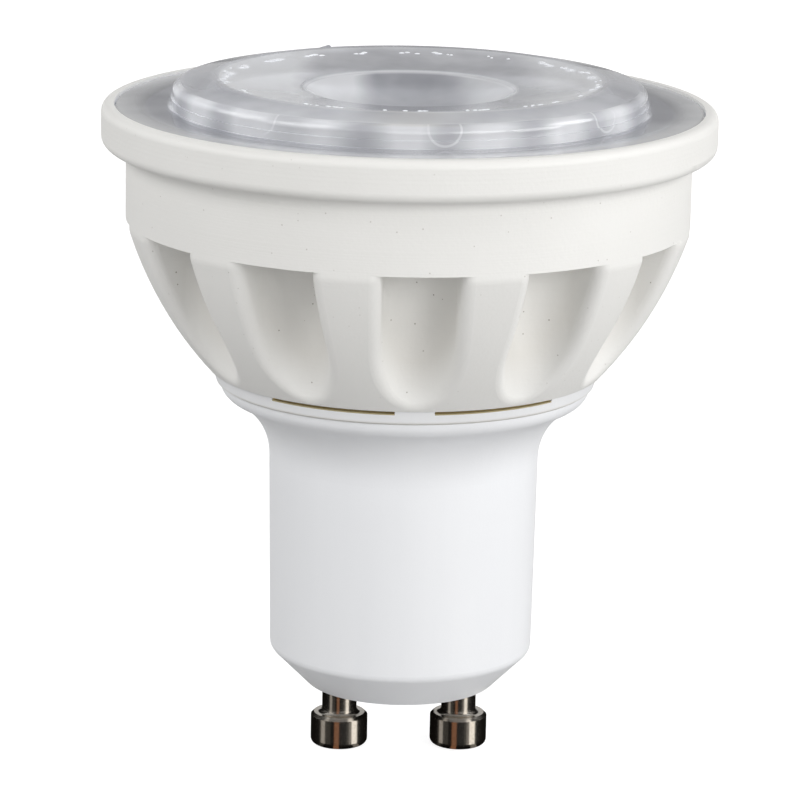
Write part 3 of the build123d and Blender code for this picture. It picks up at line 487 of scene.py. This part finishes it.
off = put(lens_painted_light, "VectorMath", {0: spot.outputs[0]}, operation="LENGTH")
scallop = reckon(lens_painted_light, "COMPARE", off.outputs["Value"], scallop_radius, scallop_line)
tone = reckon(lens_painted_light, "MULTIPLY_ADD", reckon(lens_painted_light, "MULTIPLY", scallop, wall), scallop_gain, tone)

where = put(lens_painted_light, "TexCoord").outputs["Object"]
drift = put(lens_painted_light, "TexNoise", {"Vector": where, "Scale": 150.0, "Detail": 3.0})
cloud = ramp(lens_painted_light, drift.outputs["Fac"], 0.35, 0.65, -drift_gain, drift_gain)
tone = reckon(lens_painted_light, "ADD", tone, cloud, use_clamp=True)
lens_painted_light.links.new(tone, results.inputs["Tone"])
lens_painted_light.links.new(reckon(lens_painted_light, "GREATER_THAN", place["Height"], face_bottom), results.inputs["Face"])

clear_lens, tree, shader = start_finish("lens_clear", 0.1, IOR=1.49, Transmission_Weight=0.48)
painted_lens_tone = place_group(tree, lens_painted_light)
shade_between(tree, shader, painted_lens_tone["Tone"], (0.275, 0.28, 0.31), (0.98, 0.985, 1.0))
skin = place_group(tree, moulded_skin, Grain=2500.0, Flow=180.0)
frost = ramp(tree, skin["Cloud"], 0.0, 1.0, 0.3, 0.45)
clean = ramp(tree, skin["Cloud"], 0.0, 1.0, 0.04, 0.1)
polish = put(tree, "Mix", {"Factor": painted_lens_tone["Face"], "A": frost, "B": clean}, data_type="FLOAT")
tree.links.new(polish.outputs["Result"], shader.inputs["Roughness"])
relief(tree, shader, skin["Cloud"], 0.02 * mm)
rays = put(tree, "LightPath")
passing = put(tree, "BsdfTransparent", {"Color": (0.62, 0.64, 0.68, 1)})
seen = put(tree, "MixShader", {"Fac": rays.outputs["Is Shadow Ray"], 1: shader.outputs[0], 2: passing.outputs[0]})
tree.links.new(seen.outputs[0], tree.nodes["Material Output"].inputs["Surface"])
dress(clear_lens, "lens")


# Beads along the lens's ridge, left by the tool's spark-eroded groove: small domes in loose runs, half sunk.
# They are glossy and coloured near white, a painted glint, so that each one shows as a white speck.
random.seed(7)
ridge_radius, ridge_top = 15.3, 56.53
ridge_fall, ridge_inset = 0.12, 1.5
bead_sink, side_growth = 0.8, 0.8
bead_gaps = (1.4, 2.0, 3.5, 6.0, 13.0)
bead_mesh = bpy.data.meshes.new("ridge_beads")
shape = bmesh.new()
bearing = 0.0
while bearing < 360.0:
    size = random.uniform(0.27, 0.54) ** 2 * (1 + side_growth * math.sin(math.radians(bearing)) ** 2)
    reach = ridge_radius + random.uniform(-0.35, 0.3) + ridge_inset * min(0.0, math.cos(math.radians(bearing)))
    level = ridge_top - ridge_fall * abs(ridge_radius - reach) - bead_sink * size
    spot = Matrix.Rotation(math.radians(bearing), 4, "Z") @ Matrix.Translation(Vector((0, -reach, level)) * mm)
    squash = Matrix.Diagonal((random.uniform(1.0, 2.4), 1.0, 0.8, 1.0))
    bmesh.ops.create_icosphere(shape, subdivisions=2, radius=size * mm, matrix=spot @ squash)
    bearing += random.choice(bead_gaps)
for face in shape.faces:
    face.smooth = True
shape.to_mesh(bead_mesh)
shape.free()
bead_painted_glint, tree, shader = start_finish("bead_painted_glint", 0.12, IOR=1.49)
skin = place_group(tree, moulded_skin, Grain=6000.0, Flow=900.0)
# Painted glint: the beads' near-white colour.
shade_between(tree, shader, skin["Cloud"], (0.72, 0.74, 0.79), (0.97, 0.98, 1.0))
rough_between(tree, shader, skin["Height"], 0.06, 0.2)
relief(tree, shader, skin["Height"], 0.01 * mm)
bead_mesh.materials.append(bead_painted_glint)
ridge_beads = bpy.data.objects.new("ridge_beads", bead_mesh)
bpy.context.scene.collection.objects.link(ridge_beads)
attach(ridge_beads, "root")


# Gate stub, where the runner was broken off the lens after moulding, left standing on the drum's back edge.
# It is the lens's own acrylic, torn to a slope at the top and softened at its edges.
stub_width, stub_depth, stub_height = 0.95, 0.55, 0.6
stub_tear, stub_round = 0.22, 0.09
stub_bearing, stub_reach, stub_middle = math.radians(20.0), 18.75, 55.82
stub_mesh = bpy.data.meshes.new("gate_stub")
shape = bmesh.new()
bmesh.ops.create_cube(shape, size=1.0)
for corner in shape.verts:
    torn = stub_tear * corner.co.x if corner.co.z > 0 else 0.0
    corner.co = Vector((stub_width * corner.co.x, stub_depth * corner.co.y, stub_height * corner.co.z + torn)) * mm
bmesh.ops.bevel(shape, geom=shape.edges[:], offset=stub_round * mm, segments=3, affect="EDGES", profile=0.6)
shape.to_mesh(stub_mesh)
shape.free()
stub_mesh.materials.append(clear_lens)
gate_stub = bpy.data.objects.new("gate_stub", stub_mesh)
gate_stub.rotation_euler.z = stub_bearing
gate_stub.location = Vector((-math.sin(stub_bearing), math.cos(stub_bearing), 0)) * stub_reach * mm
gate_stub.location.z = stub_middle * mm
bpy.context.scene.collection.objects.link(gate_stub)
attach(gate_stub, "root")


# Studio: the camera and a pale floor, which is clear from below so that the pins' end can be looked at.
# The camera's place and lens come from matching the lamp's outline in the photograph.
# Gloss and clear plastic see the floor too, but dimmed.
scene = bpy.context.scene
scene.view_settings.view_transform = "Standard"

lamp_turn = -3.0
pitch, yaw, roll = 0.2424, -0.0011, 0.0184
camera_back, camera_height = 342.77, 114.37
turn = Matrix.Rotation(math.radians(lamp_turn), 3, "Z")
forward = Vector((math.sin(yaw) * math.cos(pitch), math.cos(yaw) * math.cos(pitch), -math.sin(pitch)))
right = Vector((math.cos(yaw), -math.sin(yaw), 0))
up = right.cross(forward)
camera_x = turn @ (math.cos(roll) * right + math.sin(roll) * up)
camera_y = turn @ (math.cos(roll) * up - math.sin(roll) * right)
camera_z = turn @ -forward
camera = bpy.data.objects.new("camera", bpy.data.cameras.new("camera"))
camera.data.sensor_width = 36.0
camera.data.lens = 192.75
camera.matrix_world = Matrix((camera_x, camera_y, camera_z)).transposed().to_4x4()
camera.location = turn @ Vector((0, -camera_back * mm, camera_height * mm))
scene.collection.objects.link(camera)
scene.camera = camera

floor_radius, floor_drop = 2.5, 0.01
floor_white, floor_dim = 0.84, 0.18
floor_mesh = bpy.data.meshes.new("floor")
shape = bmesh.new()
bmesh.ops.create_circle(shape, cap_ends=True, segments=96, radius=floor_radius)
shape.to_mesh(floor_mesh)
shape.free()
floor = bpy.data.objects.new("floor", floor_mesh)
floor.location.z = -floor_drop * mm
scene.collection.objects.link(floor)
floor_paint = bpy.data.materials.new("floor_paint")
floor_paint.use_nodes = True
floor_paint.cycles.emission_sampling = "NONE"
tree = floor_paint.node_tree
tree.nodes.remove(tree.nodes["Principled BSDF"])
rays = put(tree, "LightPath").outputs
matt = put(tree, "BsdfDiffuse", {"Color": (0.4, 0.4, 0.4, 1)})
clear = reckon(tree, "MAXIMUM", rays["Is Glossy Ray"], rays["Is Transmission Ray"])
dim = ramp(tree, clear, 0.0, 1.0, 0.0, floor_dim)
white = ramp(tree, rays["Is Camera Ray"], 0.0, 1.0, 0.0, floor_white)
glow = put(tree, "Emission", {"Color": (1, 1, 1, 1), "Strength": reckon(tree, "MAXIMUM", dim, white)})
both = put(tree, "AddShader", {0: matt.outputs[0], 1: glow.outputs[0]})
under = put(tree, "NewGeometry")
empty = put(tree, "BsdfTransparent")
sided = put(tree, "MixShader", {"Fac": under.outputs["Backfacing"], 1: both.outputs[0], 2: empty.outputs[0]})
tree.links.new(sided.outputs[0], tree.nodes["Material Output"].inputs["Surface"])
floor_mesh.materials.append(floor_paint)


# Glowing cards round the pins, dark with a silver, a brown and a white strip, each fading to dim at its edges.
# They paint reflections into the bright metal, and only mirror-like rays see them, so they neither show nor shade
# anything.
card_colours = {
    "black": (0.003, 0.0025, 0.0021, 1),
    "dim": (0.032, 0.030, 0.027, 1),
    "grey": (0.15, 0.14, 0.13, 1),
    "silver": (0.30, 0.284, 0.266, 1),
    "white": (0.90, 0.865, 0.815, 1),
    "brown": (0.18, 0.082, 0.044, 1),
}
floor_colours = {"white": "grey", "silver": "dim", "grey": "black", "dim": "black"}
reflection_glow = 1.25
for name, colour in card_colours.items():
    card = bpy.data.materials.new("card_" + name)
    card.use_nodes = True
    card.cycles.emission_sampling = "NONE"
    tree = card.node_tree
    tree.nodes.remove(tree.nodes["Principled BSDF"])
    # The cards glow with their own colour, for painted reflections in the pins.
    glow = put(tree, "Emission", {"Color": colour, "Strength": reflection_glow})
    tree.links.new(glow.outputs[0], tree.nodes["Material Output"].inputs["Surface"])


def pin_reflection_card(middle, start, stop, colour):
    hole, reach, bottom, top, step_angle = 1.9, 3.5, -0.005, 5.695, 4
    mesh = bpy.data.meshes.new("pin_reflection_card")
    shape = bmesh.new()
    steps = max(2, round((stop - start) / step_angle))
    angles = [math.radians(start + (stop - start) * step / steps + lamp_turn) for step in range(steps + 1)]
    rows = []
    for radius, height in ((hole, bottom), (reach, bottom), (reach, top)):
        ring = [Vector((radius * math.sin(angle), -radius * math.cos(angle), height)) * mm for angle in angles]
        rows.append([shape.verts.new(corner + Vector((middle, 0, 0))) for corner in ring])
    for level in (0, 1):
        near, far = rows[level], rows[level + 1]
        for step in range(steps):
            shape.faces.new((near[step], near[step + 1], far[step + 1], far[step])).material_index = level
    shape.to_mesh(mesh)
    shape.free()
    for shade in (floor_colours.get(colour, colour), colour):
        mesh.materials.append(bpy.data.materials["card_" + shade])
    card = bpy.data.objects.new("pin_reflection_card", mesh)
    card.visible_camera = False
    card.visible_diffuse = False
    card.visible_transmission = False
    card.visible_shadow = False
    scene.collection.objects.link(card)


strips = (
    (-140, "black"), (-58, "dim"), (-52, "silver"), (-39, "dim"), (-22, "black"), (-12, "brown"), (1, "black"),
    (21, "dim"), (28, "grey"), (36, "white"), (54, "dim"), (58, "black"), (140, None),
)
pin_reach = 5 * mm
for middle, turned in ((-pin_reach, 0), (pin_reach, -5)):
    for (start, colour), (stop, _) in zip(strips, strips[1:]):
        pin_reflection_card(middle, start + turned, stop + turned, colour)


# Surround and lamps: a white room to the camera, dimmer to gloss and clear plastic, and nearly dark as a light.
# Round soft lamps stand about the part, strongest at the right, and three only fill the back and the top.
room_dark, room_dim = 0.08, 0.5
world = bpy.data.worlds.new("surround")
scene.world = world
world.use_nodes = True
tree = world.node_tree
rays = put(tree, "LightPath").outputs
clear = reckon(tree, "MAXIMUM", rays["Is Glossy Ray"], rays["Is Transmission Ray"])
dim = ramp(tree, clear, 0.0, 1.0, room_dark, room_dim)
surround = tree.nodes["Background"]
surround.inputs["Color"].default_value = (1, 1, 1, 1)
tree.links.new(reckon(tree, "MAXIMUM", dim, rays["Is Camera Ray"]), surround.inputs["Strength"])


def soft_lamp(name, bearing, rise, watts, mirrored=True):
    width, reach, aim = 0.5, 0.95, 35 * mm
    lamp = bpy.data.lights.new(name, "AREA")
    lamp.shape = "DISK"
    lamp.size = width
    lamp.energy = watts
    holder = bpy.data.objects.new(name, lamp)
    swing = Matrix.Rotation(math.radians(bearing), 4, "Z") @ Matrix.Rotation(math.radians(90 - rise), 4, "X")
    holder.matrix_world = Matrix.Translation((0, 0, aim)) @ swing @ Matrix.Translation((0, 0, reach))
    holder.visible_transmission = False
    holder.visible_glossy = mirrored
    scene.collection.objects.link(holder)


soft_lamp("right_low", 60, 8, 3.4)
soft_lamp("right_high", 90, 30, 2.85)
soft_lamp("front_right", 30, 15, 2.8)
soft_lamp("front", 0, 10, 1.4)
soft_lamp("left_high", -60, 35, 2.6)
soft_lamp("left_low", -60, 10, 1.25)
soft_lamp("left_side", -100, 30, 1.9)
soft_lamp("back_right", 145, 25, 1.5, mirrored=False)
soft_lamp("back_left", -150, 25, 1.5, mirrored=False)
soft_lamp("overhead", 0, 85, 1.3, mirrored=False)
